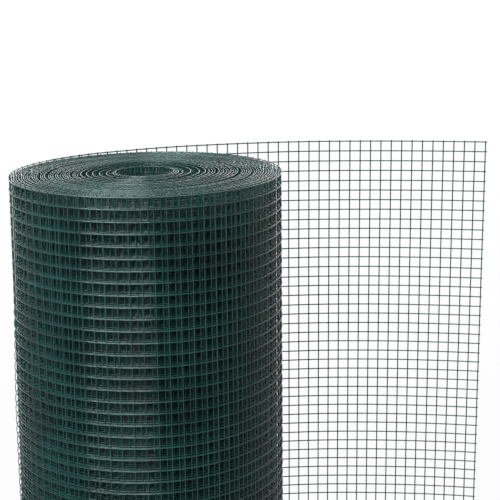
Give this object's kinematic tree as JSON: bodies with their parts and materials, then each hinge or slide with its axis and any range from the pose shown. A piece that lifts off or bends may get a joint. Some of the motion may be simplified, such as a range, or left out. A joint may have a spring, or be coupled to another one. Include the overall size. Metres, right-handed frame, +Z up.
{
  "type": "roll of welded wire mesh fencing",
  "caption": "Standing roll of green coated square welded wire mesh with an open core, its outer end run out as a flat upright net for fencing, cages and plant guards.",
  "frame": {"origin": "on the axis of the roll's bore, at the floor under its lower end", "axes": "+Z up along the axis of the roll, +X towards the cut end of the free mesh, +Y to the side where the free mesh leaves the roll"},
  "size_m": [0.5701, 0.3708, 0.4979],
  "materials": {
    "coated_wire": "satin moss green PVC coating over galvanised steel wire"
  },
  "bodies": {
    "root": {"rolled_mesh": "coated_wire", "tail_mesh_1": "coated_wire", "tail_mesh_2": "coated_wire", "tail_mesh_3": "coated_wire", "tail_mesh_4": "coated_wire", "tail_mesh_5": "coated_wire", "tail_mesh_6": "coated_wire"}
  },
  "joints": []
}
